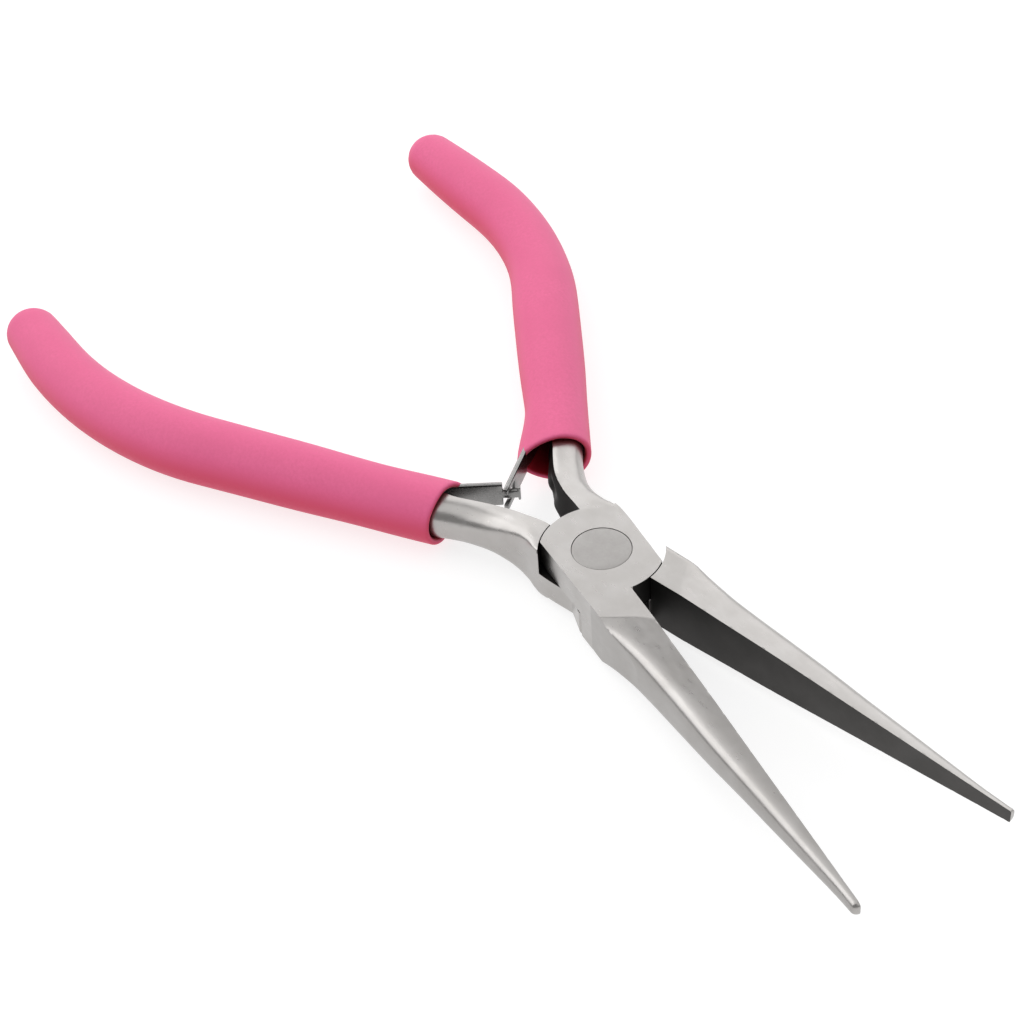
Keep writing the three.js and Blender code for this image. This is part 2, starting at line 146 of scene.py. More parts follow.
def curve(*points):
    """A smooth function of x through a few (x, value) points, and level beyond them."""
    xs, ys = (np.array(column, float) for column in zip(*sorted(points)))
    slopes = np.gradient(ys, xs)

    def value(x):
        x = np.clip(x, xs[0], xs[-1])
        i = np.clip(np.searchsorted(xs, x) - 1, 0, len(xs) - 2)
        width = xs[i + 1] - xs[i]
        t = (x - xs[i]) / width
        start = ys[i] * (1 + 2 * t) * (1 - t) ** 2 + slopes[i] * width * t * (1 - t) ** 2
        end = ys[i + 1] * t * t * (3 - 2 * t) + slopes[i + 1] * width * t * t * (t - 1)
        return start + end

    return value


def round_max(a, b, radius):
    """Where two solids overlap, with the edge between them rounded."""
    corner = np.hypot(np.maximum(a + radius, 0), np.maximum(b + radius, 0))
    return np.minimum(np.maximum(a, b), -radius) + corner


def place(points, half):
    """Points of one half of the shut tool, in the open frame of the CAD, in metres."""
    x, y, z = np.asarray(points, float).reshape(-1, 3).T
    y, z, turn = y * half, z * half, -half * HALF_OPENING
    return MM * np.column_stack([
        x * math.cos(turn) - y * math.sin(turn),
        x * math.sin(turn) + y * math.cos(turn),
        z + MIDDLE,
    ])


def spine_y(handle, x):
    """The middle of a handle in plan: straight, then a round bend, then straight."""
    angle, end_angle = math.radians(handle["angle"]), math.radians(handle["end_angle"])
    radius, bend_x = handle["bend_radius"], handle["bend_x"]
    bend_y = SPINE_START[1] + (SPINE_START[0] - bend_x) * math.tan(angle)
    centre_x = bend_x - radius * math.sin(angle)
    centre_y = bend_y - radius * math.cos(angle)
    end_x = centre_x + radius * math.sin(end_angle)
    end_y = centre_y + radius * math.cos(end_angle)
    straight = SPINE_START[1] + (SPINE_START[0] - x) * math.tan(angle)
    bend = centre_y + np.sqrt(np.maximum(radius**2 - (x - centre_x) ** 2, 0))
    end = end_y + (end_x - x) * math.tan(end_angle)
    return np.where(x > bend_x, straight, np.where(x > end_x, bend, end))


def spine_slope(handle, x):
    step = 0.05
    return (spine_y(handle, x + step) - spine_y(handle, x - step)) / (2 * step)


# The jaws along their length.
JAW_HALF_WIDTH = curve(
    (10.5, 5.75), (14, 5.28), (17, 4.85), (20, 4.57), (26, 4.08), (32, 3.6),
    (38, 2.95), (44, 2.34), (50, 1.68), (55, 1.14), (58.5, 0.9),
)
JAW_SQUARENESS = curve((10, 6.5), (20, 5), (35, 3.7), (50, 2.9), (58, 2.5))  # 2 is an ellipse
JAW_HALF_HEIGHT = curve(
    (10.5, 3.62), (14, 3.58), (20, 3.32), (26, 3.05), (32, 2.66),
    (38, 2.24), (44, 1.86), (50, 1.47), (55, 1.13), (58.5, 0.92),
)

# The joint and the neck: their lines in plan, then the neck's section.
PLATE_OUTER = curve((-8.5, 4.75), (-7, 5.12), (-5.7, 5.36), (-4.4, 5.45), (0, 5.42), (7, 5.3))
NECK_OUTER = {
    half: curve(
        (-4.4, 5.45), (-5.7, 5.36), (-7, 5.12), (-8.5, 4.75),
        (-10.3, 4.66), (-12.3, 4.86), (-14.4, 5.35), (-17.7, 6.45),
        (-21.7, 5.24 + TANG_RADIUS / math.cos(math.radians(HANDLE[half]["angle"]))),
    )
    for half in (UPPER, LOWER)
}
NECK_INNER = curve((-5, 0.9), (-8, 0.9), (-12, 0.95), (-16.1, 1.75), (-21.7, 4.15))
NECK_RELIEF = {UPPER: 0.55, LOWER: 0.0}  # a shallow hollow for the other leaf's head when shut
NECK_RELIEF_X, NECK_RELIEF_LENGTH = -15.4, 1.5
NECK_RELIEF_EDGE = (1.0, 1.8)  # it runs out between these heights
NECK_HEIGHT = curve((-6.5, MIDDLE), (-9, 3.62), (-12, 3.3), (-16, 2.85), (-22, TANG_RADIUS))
NECK_RIDGE = curve((-6, 0), (-9.5, 0.75), (-21, 0.75), (-27, 0))
NECK_SQUARENESS = curve((-6, 18), (-7.5, 9), (-9, 6), (-13, 3), (-17, 2.4), (-24, 2.3))


# ---------------------------------------------------------------- meshes from fields

def slope_of(field, points):
    """The field's gradient at points."""
    step = 0.01
    sides = []
    for axis in range(3):
        shift = np.zeros(3)
        shift[axis] = step
        ahead, behind = field(*(points + shift).T), field(*(points - shift).T)
        sides.append((ahead - behind) / (2 * step))
    return np.column_stack(sides)


def crossings(field, value, axis, low, cell):
    """The grid edges along an axis that a field changes sign on: indices, points and directions."""
    first, second = [slice(None)] * 3, [slice(None)] * 3
    first[axis], second[axis] = slice(0, -1), slice(1, None)
    a, b = value[tuple(first)], value[tuple(second)]
    at = np.argwhere((a < 0) != (b < 0))
    a, b = a[tuple(at.T)], b[tuple(at.T)]
    start = np.array(low) + cell * at
    points = start.copy()
    points[:, axis] += cell * a / (a - b)
    for _ in range(3):
        slope = slope_of(field, points)
        along = slope[:, axis]
        step = -field(*points.T) / np.where(np.abs(along) > 0.1, along, np.inf)
        points[:, axis] = np.clip(points[:, axis] + step, start[:, axis], start[:, axis] + cell)
    slope = slope_of(field, points)
    normals = slope / np.maximum(np.linalg.norm(slope, axis=1, keepdims=True), 1e-9)
    return at, points, normals, a < 0


def carve(field, low, high, cell):
    """A field's surface as points and quads, with its sharp edges kept. The field is negative inside.

    Each grid cell that the surface passes through gets one point, as near as it can be to all the
    planes that touch the surface where it crosses the cell's edges.
    """
    counts = [int(math.ceil((b - a) / cell)) + 1 for a, b in zip(low, high)]
    x, y, z = (a + cell * np.arange(n) for a, n in zip(low, counts))
    value = np.empty(counts, np.float32)
    for i in range(0, counts[0], 64):  # slabs keep the memory small
        value[i:i + 64] = field(x[i:i + 64, None, None], y[None, :, None], z[None, None, :])
    cells = tuple(n - 1 for n in counts)
    total = cells[0] * cells[1] * cells[2]
    found, planes, spots, edges = [], [], [], []
    for axis in range(3):
        at, points, normals, outward = crossings(field, value, axis, low, cell)
        edges.append((axis, at, outward))
        b, c = (axis + 1) % 3, (axis + 2) % 3
        for step_b in (0, 1):
            for step_c in (0, 1):
                corner = at.copy()
                corner[:, b] -= step_b
                corner[:, c] -= step_c
                found.append(np.ravel_multi_index(corner.T, cells, mode="clip"))
                planes.append(normals)
                spots.append(points)
    found, normals, spots = np.concatenate(found), np.concatenate(planes), np.concatenate(spots)
    owners, which = np.unique(found, return_inverse=True)
    which = which.ravel()

    def summed(values):
        return np.bincount(which, values, len(owners))

    count = summed(np.ones(len(which)))
    middle = np.column_stack([summed(spots[:, k]) / count for k in range(3)])
    away = ((spots - middle[which]) * normals).sum(1)
    matrix = np.empty((len(owners), 3, 3))
    for i in range(3):
        for j in range(i, 3):
            matrix[:, i, j] = matrix[:, j, i] = summed(normals[:, i] * normals[:, j])
        matrix[:, i, i] += 0.015 * count
    right = np.column_stack([summed(normals[:, k] * away) for k in range(3)])
    shift = np.linalg.solve(matrix, right[:, :, None])[:, :, 0]
    centre = np.column_stack(np.unravel_index(owners, cells)) * cell + np.array(low) + cell / 2
    points = np.clip(middle + shift, centre - 0.6 * cell, centre + 0.6 * cell)
    index = np.full(total, -1, np.int64)
    index[owners] = np.arange(len(owners))
    quads = []
    for axis, at, outward in edges:
        b, c = (axis + 1) % 3, (axis + 2) % 3
        corners = []
        for step_b, step_c in ((0, 0), (1, 0), (1, 1), (0, 1)):
            corner = at.copy()
            corner[:, b] -= step_b
            corner[:, c] -= step_c
            corners.append(index[np.ravel_multi_index(corner.T, cells, mode="clip")])
        quad = np.column_stack(corners)
        quads.append(np.where(outward[:, None], quad, quad[:, ::-1]))
    return points, np.concatenate(quads)


def mesh_object(name, points, faces, material, body, nodes):
    """A smooth-shaded piece from points in metres. It rides on a body and stands for CAD nodes."""
    mesh = bpy.data.meshes.new(name)
    mesh.from_pydata([tuple(p) for p in points], [], [tuple(f) for f in faces])
    mesh.validate()
    mesh.shade_smooth()
    mesh.materials.append(material)
    piece = bpy.data.objects.new(name, mesh)
    bpy.context.scene.collection.objects.link(piece)
    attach(piece, body)
    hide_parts(*nodes)
    return piece


# ---------------------------------------------------------------- procedural materials

def node_material(name):
    material = bpy.data.materials.new(name)
    material.use_nodes = True
    tree = material.node_tree
    shader = tree.nodes["Principled BSDF"]
    return material, tree, shader


def add_node(tree, kind, settings=None, **inputs):
    """A shader node with its settings and its input values or links."""
    node = tree.nodes.new(kind)
    for key, value in (settings or {}).items():
        setattr(node, key, value)
    for key, value in inputs.items():
        socket = node.inputs[key.replace("_", " ")]
        if isinstance(value, bpy.types.NodeSocket):
            tree.links.new(value, socket)
        else:
            socket.default_value = value
    return node


def noise(tree, scale, stretch=(1, 1, 1), detail=3.0, roughness=0.55):
    """Noise in the object's own space, drawn out along an axis by a small stretch value."""
    coordinates = add_node(tree, "ShaderNodeTexCoord")
    mapped = add_node(tree, "ShaderNodeMapping", Vector=coordinates.outputs["Object"], Scale=stretch)
    return add_node(
        tree, "ShaderNodeTexNoise", Vector=mapped.outputs["Vector"],
        Scale=scale, Detail=detail, Roughness=roughness,
    ).outputs["Fac"]


def scaled(tree, value, low, high, start=0.0, end=1.0):
    """A value from start..end taken to low..high."""
    node = add_node(tree, "ShaderNodeMapRange", Value=value)
    for key, number in (("From Min", start), ("From Max", end), ("To Min", low), ("To Max", high)):
        node.inputs[key].default_value = number
    return node.outputs["Result"]


def mixed(tree, share, a, b):
    """Two colours mixed by a share."""
    node = add_node(tree, "ShaderNodeMix", {"data_type": "RGBA"})
    tree.links.new(share, node.inputs["Factor"])
    for socket, value in ((node.inputs[6], a), (node.inputs[7], b)):
        if isinstance(value, bpy.types.NodeSocket):
            tree.links.new(value, socket)
        else:
            socket.default_value = (*value, 1)
    return node.outputs[2]


def clouded(tree, cloud, a, b, start=0.35, end=0.65):
    """Two near colours in soft patches."""
    return mixed(tree, scaled(tree, cloud, 0, 1, start, end), a, b)


def bumped(tree, shader, height, strength, distance):
    bump = add_node(tree, "ShaderNodeBump", Height=height, Strength=strength, Distance=distance)
    tree.links.new(bump.outputs["Normal"], shader.inputs["Normal"])


def satin_steel():
    """Ground steel: light outside, near black on the faces that meet in the shut tool, and darkened by
    painted shade in the joint's gaps and on its outer sides.
    """
    material, tree, shader = node_material("satin_steel")
    cloud = noise(tree, 260, detail=4)
    grain = noise(tree, 1700, stretch=(0.3, 1, 1), detail=2)
    light = clouded(tree, cloud, (0.412, 0.396, 0.383), (0.450, 0.435, 0.424))
    dark = clouded(tree, cloud, (0.017, 0.016, 0.015), (0.028, 0.026, 0.025), 0.3, 0.7)
    dark_and_shade_share = add_node(tree, "ShaderNodeAttribute", {"attribute_name": "dark_face_and_painted_shade"}).outputs["Fac"]
    tree.links.new(mixed(tree, dark_and_shade_share, light, dark), shader.inputs["Base Color"])
    ground = scaled(tree, grain, 0.27, 0.34, 0.3, 0.7)
    rough = add_node(tree, "ShaderNodeMix", {"data_type": "FLOAT"})
    tree.links.new(dark_and_shade_share, rough.inputs[0])
    tree.links.new(ground, rough.inputs[2])
    rough.inputs[3].default_value = 0.52
    tree.links.new(rough.outputs[0], shader.inputs["Roughness"])
    shader.inputs["Metallic"].default_value = 1.0
    return material


def rivet_steel():
    """Steel turned flat, a little duller than the joint round it."""
    material, tree, shader = node_material("rivet_steel")
    cloud = noise(tree, 420, detail=3)
    grain = noise(tree, 3200, detail=2)
    tint = clouded(tree, cloud, (0.368, 0.354, 0.344), (0.396, 0.383, 0.373))
    tree.links.new(tint, shader.inputs["Base Color"])
    tree.links.new(scaled(tree, grain, 0.44, 0.54, 0.3, 0.7), shader.inputs["Roughness"])
    shader.inputs["Metallic"].default_value = 1.0
    bumped(tree, shader, grain, 0.08, 0.00003)
    return material


def spring_steel():
    """Rolled strip: bright, with fine lines along its length."""
    material, tree, shader = node_material("spring_steel")
    cloud = noise(tree, 500, detail=3)
    lines = noise(tree, 4200, stretch=(1, 1, 4), detail=2)
    tint = clouded(tree, cloud, (0.26, 0.256, 0.252), (0.31, 0.305, 0.30))
    tree.links.new(tint, shader.inputs["Base Color"])
    tree.links.new(scaled(tree, lines, 0.24, 0.34, 0.3, 0.7), shader.inputs["Roughness"])
    shader.inputs["Metallic"].default_value = 1.0
    bumped(tree, shader, lines, 0.06, 0.00002)
    return material


def pink_vinyl():
    """Soft matt vinyl with a fine skin grain, with painted shade: a deeper red on the undersides and a
    deep red inside the mouth.
    """
    material, tree, shader = node_material("pink_vinyl")
    cloud = noise(tree, 120, detail=4)
    skin = noise(tree, 2300, detail=4, roughness=0.65)
    outside = clouded(tree, cloud, (0.775, 0.130, 0.288), (0.815, 0.144, 0.312))
    grained = clouded(tree, skin, (0.74, 0.118, 0.265), outside, 0.3, 0.7)
    # painted shade: skin that faces down is a deeper red
    under = add_node(tree, "ShaderNodeAttribute", {"attribute_name": "underside_painted_shade"}).outputs["Fac"]
    underside_shaded = mixed(tree, under, grained, (0.62, 0.042, 0.112))
    # painted shade: the bore is a deep red
    inside = add_node(tree, "ShaderNodeAttribute", {"attribute_name": "bore"}).outputs["Fac"]
    tree.links.new(mixed(tree, inside, underside_shaded, (0.42, 0.004, 0.016)), shader.inputs["Base Color"])
    tree.links.new(scaled(tree, skin, 0.50, 0.64, 0.3, 0.7), shader.inputs["Roughness"])
    shader.inputs["Specular IOR Level"].default_value = 0.35
    shader.inputs["Sheen Weight"].default_value = 0.05
    shader.inputs["Sheen Roughness"].default_value = 0.5
    bumped(tree, shader, skin, 0.22, 0.00006)
    return material


# ---------------------------------------------------------------- the levers

def superellipse(a, b, power):
    """Negative inside a rounded square of half width 1. Power 2 makes it a circle."""
    return (np.abs(a) ** power + np.abs(b) ** power) ** (1 / power) - 1


def jaw_field(half, x, y, z):
    """The half-round jaw, square where it leaves the joint, before its flat top is cut."""
    shape = JAW[half]
    root = np.exp(-np.clip(x - CREASE[half], -3, 60) / CREASE_FADE)
    width = JAW_HALF_WIDTH(x) + CREASE_WIDER * root
    height = JAW_HALF_HEIGHT(x) + CREASE_HIGHER * root
    power = JAW_SQUARENESS(x) + CREASE_SQUARER * root
    risen = np.abs(z) + JAW_TOP_TILT * np.abs(y)
    cone = superellipse(y / width, risen / height, power) * np.minimum(width, height)
    return round_max(cone / JAW_STEEPNESS, x - shape["tip"], shape["tip_radius"])


def neck_field(half, x, y, z):
    """The neck, square at the joint and half round beyond it, with its tang inside the sleeve."""
    handle = HANDLE[half]
    lean = np.sqrt(1 + spine_slope(handle, x) ** 2)
    spine = spine_y(handle, x)
    far = smooth(-x, *NECK_TO_TANG)
    outer = mix(NECK_OUTER[half](x), spine + TANG_RADIUS * lean, far)
    relief = NECK_RELIEF[half] * np.exp(-((x - NECK_RELIEF_X) / NECK_RELIEF_LENGTH) ** 2)
    relief = relief * (1 - smooth(np.abs(z), *NECK_RELIEF_EDGE))
    inset = NECK_INSET[half] * smooth(-x, 8, 12)
    inner = mix(NECK_INNER(x) + relief + inset, spine - TANG_FACE * lean, far)
    reach = mix(TANG_RADIUS / lean, TANG_RADIUS, far)
    middle = outer - TANG_RADIUS * lean
    across = np.where(y > middle, (y - middle) / (outer - middle), (middle - y) / (reach * lean))
    height = NECK_HEIGHT(x)
    body = superellipse(across, z / height, NECK_SQUARENESS(x)) * TANG_RADIUS
    rise = NECK_RIDGE(x) * (1 - np.abs(z) / height)
    face = (inner - rise - y) / lean
    ends = np.maximum(x - NECK_FRONT, TANG_END - x)
    return np.maximum(np.maximum(body, face), ends)


def lever_field(half):
    """One forging as a field: the lap plate, the jaw, and the neck with its tang."""

    def field(x, y, z):
        slab = np.abs(z) - MIDDLE
        ear = LAP_EAR[half] * np.maximum(x - LAP_EAR_X, 0)
        waist = JOINT_SIDE_WAIST * smooth(x, CREASE[half], CREASE[half] + JOINT_SIDE_WAIST_LENGTH)
        side = JOINT_SIDE - JOINT_SIDE_LEAN * x - waist
        band = round_max(np.maximum(y - PLATE_OUTER(x) - ear, -y - side), slab, EDGE_RADIUS[half])
        disc = np.maximum(np.hypot(x, y) - SHOULDER_RADIUS, band)
        lap = np.maximum(disc, LAP_GAP / 2 - z)
        jaw = np.maximum(jaw_field(half, x, y, z), band)
        jaw = np.maximum(np.maximum(jaw, y + JAW_FACE), -x)
        root = np.maximum(np.maximum(band, JOINT_INNER - y), np.maximum(x, JOINT_BACK - x))
        rear = np.maximum(np.minimum(root, neck_field(half, x, y, z)), slab)
        solid = np.minimum(np.minimum(lap, jaw), rear)
        radius = SHOULDER_RADIUS + SHOULDER_CLEARANCE
        cut = np.maximum(np.hypot(x, y) - radius, z - LAP_GAP / 2)
        hole = np.hypot(x, y) - RIVET_RADIUS - RIVET_CLEARANCE
        return np.maximum(np.maximum(solid, -cut), -hole)

    return field


def dark_faces_and_painted_shade(points, normals):
    """How dark each face of a lever is: 1 where it is covered in the shut tool. This is near black on
    the inner faces of the jaws and necks, painted shade in the gaps round the laps and shoulders, and a
    lighter painted shade on the outer sides.
    """
    x, y, z = points.T
    radius = np.hypot(x, y)
    facing_in = -(x * normals[:, 0] + y * normals[:, 1]) / np.maximum(radius, 1e-6)
    fade = mix(0.94, 0.86, smooth(x, 12, 58))  # a little lighter towards the tip
    jaw = (x > 0) * (y > -0.6) * (y < 4.6) * smooth(normals[:, 1], 0.6, 0.9) * fade
    neck = (x < -6.5) * (x > -40) * smooth(-normals[:, 1], 0.55, 0.8)
    # painted shade: the faces in the gap between the laps, the shoulder walls that face the other lever
    # and the disc's rim beside them are drawn dark
    between_laps = (radius < 7.9) * (y < 6.2) * (z < 0.3) * (z > -0.2)
    lap = between_laps * smooth(-normals[:, 2], 0.5, 0.9)
    shoulder = (radius > 7.6) * (radius < 7.9) * smooth(facing_in, 0.5, 0.8)
    rim = (x > 3) * (y > 0.3) * (radius > 7.4) * (radius < 7.8) * smooth(-facing_in, 0.5, 0.8)
    outer_side_painted_shade = (x > 8) * 0.14 * smooth(-normals[:, 1], 0.5, 0.95)  # painted shade: the outer sides a shade darker
    return np.clip(np.maximum.reduce([jaw, neck, lap, shoulder, rim]) + outer_side_painted_shade, 0, 1)


def lever(name, half, body, node, material):
    """A forging: its mesh, with each face's darkness (painted shade among it) kept as an attribute for
    the material.
    """
    cell = LEVER_CELL
    points, quads = carve(lever_field(half), LEVER_LOW, LEVER_HIGH, cell)
    corners = points[quads]
    normals = np.cross(corners[:, 2] - corners[:, 0], corners[:, 3] - corners[:, 1])
    normals /= np.maximum(np.linalg.norm(normals, axis=1, keepdims=True), 1e-12)
    piece = mesh_object(name, place(points, half), quads, material, body, [node])
    shade = piece.data.attributes.new("dark_face_and_painted_shade", "FLOAT", "FACE")
    shade.data.foreach_set("value", dark_faces_and_painted_shade(corners.mean(1), normals).astype(np.float32))
    piece.data.set_sharp_from_angle(angle=math.radians(42))
    return piece


# ---------------------------------------------------------------- turned pieces

def lathe(profile, sides, axis_frame):
    """A closed piece turned about an axis. The profile is (radius, height) points from pole to pole."""
    points, faces = [], []
    for radius, height in profile[1:-1]:
        for k in range(sides):
            angle = 2 * math.pi * k / sides
            across, along = radius * math.cos(angle), radius * math.sin(angle)
            points.append(axis_frame @ Vector((across, along, height)))
    rows = len(profile) - 2
    for row in range(rows - 1):
        for k in range(sides):
            a, b = row * sides + k, row * sides + (k + 1) % sides
            faces.append((a, b, b + sides, a + sides))
    bottom, top = len(points), len(points) + 1
    points.append(axis_frame @ Vector((0, 0, profile[0][1])))
    points.append(axis_frame @ Vector((0, 0, profile[-1][1])))
    for k in range(sides):
        faces.append((bottom, (k + 1) % sides, k))
        last = (rows - 1) * sides
        faces.append((top, last + k, last + (k + 1) % sides))
    return points, faces


def arc_profile(centre, radius, start, end, steps):
    """Points of a profile round an arc, with angles in degrees from the radial direction."""
    return [
        (centre[0] + radius * math.cos(math.radians(a)), centre[1] + radius * math.sin(math.radians(a)))
        for a in np.linspace(start, end, steps)
    ]


def pivot_rivet(material):
    """The rivet's two flush heads, with a hair-fine rounded rim on each."""
    rim, flush = 0.12, 0.01
    flat = MIDDLE - flush
    profile = [(0, -flat), (1.2, -flat), (2.4, -flat)]
    profile += arc_profile((RIVET_RADIUS - rim, -flat + rim), rim, -90, 0, 5)
    profile += [(RIVET_RADIUS, -1.5), (RIVET_RADIUS, 1.5)]
    profile += arc_profile((RIVET_RADIUS - rim, flat - rim), rim, 0, 90, 5)
    profile += [(2.4, flat), (1.2, flat), (0, flat)]
    points, faces = lathe(profile, 96, Matrix.Translation((0, 0, MIDDLE)))
    points = [p * MM for p in points]
    nodes = ["pivot_rivet"]
    return mesh_object("rivet_turned", points, faces, material, "lever_a", nodes)


# ---------------------------------------------------------------- the leaf springs

def turned(point, angle):
    x, y = point
    return np.array([
        x * math.cos(angle) - y * math.sin(angle),
        x * math.sin(angle) + y * math.cos(angle),
    ])


def leaf_line(half):
    """The leaf's middle line in its own half: a function of the length from its hooked tip."""
    handle = HANDLE[half]
    crossing = turned((LEAF_CROSSING[0], half * LEAF_CROSSING[1]), HALF_OPENING)
    root, straight = math.radians(-handle["angle"]), HALF_OPENING - LEAF_ANGLE
    root_way = np.array([math.cos(root), math.sin(root)])
    straight_way = np.array([math.cos(straight), math.sin(straight)])
    inward = np.array([root_way[1], -root_way[0]])
    seat = TANG_FACE + LEAF_SEAT_GAP + LEAF_THICKNESS / 2
    on_root = np.array(SPINE_START) + inward * seat
    gap = crossing - on_root

    def cross(a, b):
        return a[0] * b[1] - a[1] * b[0]

    meet = on_root + root_way * cross(gap, straight_way) / cross(root_way, straight_way)
    turn = root - straight
    tangent = LEAF_BEND_RADIUS * math.tan(turn / 2)
    bend_start = meet - root_way * tangent
    centre = bend_start + inward * LEAF_BEND_RADIUS
    arc = LEAF_BEND_RADIUS * turn
    bend_end = meet + straight_way * tangent
    run = float(np.dot(crossing - bend_end, straight_way))

    def at(s):
        """Plan position and direction, s millimetres before the crossing point."""
        if s <= run:
            return crossing - straight_way * s, straight_way
        if s <= run + arc:
            angle = -turn + (s - run) / LEAF_BEND_RADIUS
            way = turned(root_way, angle)
            return centre + turned(bend_start - centre, angle), way
        return bend_start - root_way * (s - run - arc), root_way

    return at, run + arc, bend_start, crossing


def leaf(name, half, node, material, columns, kept):
    """A leaf from a grid of cells along it and up it. kept says which cells are steel."""
    at, _, bend_start, crossing = leaf_line(half)
    steps = (TONGUE_HALF_HEIGHT, SLOT_HALF_HEIGHT, HEAD_HALF_HEIGHT, 1.4, LEAF_HEIGHT / 2)
    rows = sorted(side * step for side in (-1, 1) for step in steps)
    built = bmesh.new()
    corners = {}

    def corner(i, j, side):
        if (i, j, side) not in corners:
            centre, way = at(-columns[i])
            normal = np.array([-way[1], way[0]])
            point = centre + normal * side * LEAF_THICKNESS / 2
            placed = place([(point[0], point[1], rows[j])], half)[0]
            corners[(i, j, side)] = built.verts.new(placed)
        return corners[(i, j, side)]

    cells = {
        (i, j)
        for i in range(len(columns) - 1)
        for j in range(len(rows) - 1)
        if kept((columns[i] + columns[i + 1]) / 2, (rows[j] + rows[j + 1]) / 2)
    }
    for i, j in cells:
        loop = [(i, j), (i + 1, j), (i + 1, j + 1), (i, j + 1)]
        built.faces.new([corner(*c, -1) for c in loop])
        built.faces.new([corner(*c, 1) for c in reversed(loop)])
        for k, (di, dj) in enumerate(((0, -1), (1, 0), (0, 1), (-1, 0))):
            if (i + di, j + dj) not in cells:
                a, b = loop[k], loop[(k + 1) % 4]
                built.faces.new([corner(*b, -1), corner(*a, -1), corner(*a, 1), corner(*b, 1)])
    bmesh.ops.recalc_face_normals(built, faces=built.faces)
    mesh = bpy.data.meshes.new(name)
    built.to_mesh(mesh)
    built.free()
    mesh.materials.append(material)
    piece = bpy.data.objects.new(name, mesh)
    bpy.context.scene.collection.objects.link(piece)
    bevel = piece.modifiers.new("rolled_edges", "BEVEL")
    bevel.width, bevel.segments, bevel.limit_method = LEAF_EDGE_ROUNDING * MM, 2, "ANGLE"
    bevel.angle_limit = math.radians(50)
    bpy.context.view_layer.update()
    graph = bpy.context.evaluated_depsgraph_get()
    finished = bpy.data.meshes.new_from_object(piece.evaluated_get(graph))
    piece.modifiers.clear()
    piece.data = finished
    finished.name = name
    finished.shade_smooth()
    finished.set_sharp_from_angle(angle=math.radians(40))
    start, end = place([(*bend_start, 0), (*crossing, 0)], half)
    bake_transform(piece)
    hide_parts(node)
    return piece


def leaf_columns(half, *features):
    """Places along the leaf, from its root to its tip, with the tip's own features among them."""
    _, bend_start_s, _, _ = leaf_line(half)
    root = -(bend_start_s + LEAF_ROOT_LENGTH)
    regular = np.linspace(root, -3.2, 40)
    return [*regular, *sorted(features)]


def fork_leaf(material):
    """The upper leaf: its tip is slotted, and the other leaf's tongue hooks through the slot."""
    tip, slot = 1.4, 1.6
    columns = leaf_columns(UPPER, -2.4, -slot, -0.6, 0.4, tip)

    def kept(along, up):
        return not (along > -slot and abs(up) < SLOT_HALF_HEIGHT)

    return leaf("leaf_a_strip", UPPER, "leaf_spring_a", material, columns, kept)


def tongue_leaf(material):
    """The lower leaf: it narrows to a tongue with a small T head."""
    tip, head, neck = 1.48, 1.15, -0.8
    columns = leaf_columns(LOWER, -2.4, -1.6, neck, 0.2, head, tip)

    def kept(along, up):
        if along < neck:
            return True
        return abs(up) < (HEAD_HALF_HEIGHT if along > head else TONGUE_HALF_HEIGHT)

    return leaf("leaf_b_strip", LOWER, "leaf_spring_b", material, columns, kept)


def leaf_rivet(name, half, body, node, material):
    """A small domed rivet through the leaf's root into the tang."""
    at, bend_start_s, _, _ = leaf_line(half)
    centre, way = at(bend_start_s + LEAF_ROOT_LENGTH / 2)
    head, shank, foot, dome = 1.15, 0.55, -2.2, 0.4
    base = LEAF_THICKNESS / 2 + 0.06
    profile = [(0, foot), (shank, foot), (shank, base), (head - 0.1, base)]
    profile += [(head * math.cos(a), base + 0.1 + dome * math.sin(a)) for a in np.linspace(0, 1.35, 6)]
    profile.append((0, base + 0.1 + dome))
    across = Vector((way[1], -way[0], 0))
    sideways = Vector((way[0], way[1], 0))
    turn = Matrix((sideways, across.cross(sideways), across)).transposed()
    points, faces = lathe(profile, 32, turn)
    points = place([tuple(Vector((centre[0], centre[1], 0)) + p) for p in points], half)
    return mesh_object(name, points, faces, material, body, [node])


# ---------------------------------------------------------------- the sleeves

GRIP = {
    UPPER: {
        "mouth_x": -21.1,
        "radius": curve(
            (-20, 3.9), (-31.5, 4.2), (-37.7, 4.45), (-45, 4.57), (-52.6, 4.6),
            (-61, 4.32), (-69, 4.27), (-79, 4.34), (-88, 4.08), (-93.5, 3.78),
        ),
        "lobe": 1.86,
    },
    LOWER: {
        "mouth_x": -22.0,
        "radius": curve(
            (-20, 3.95), (-28, 4.2), (-34, 4.29), (-41, 4.47), (-49, 4.55),
            (-60, 4.64), (-69, 4.52), (-80, 4.28), (-87, 4.12), (-93.5, 3.75),
        ),
        "lobe": 1.36,
    },
}
GRIP_SIDES = 64
GRIP_WALL = 1.1
LIP_WALL = 0.8
LOBE_REACH = {UPPER: 0.3, LOWER: 0.6}  # how far the rim stands out on the springs' side
SIDE_SETBACK = 0.45  # and how far it stands back on the outer side


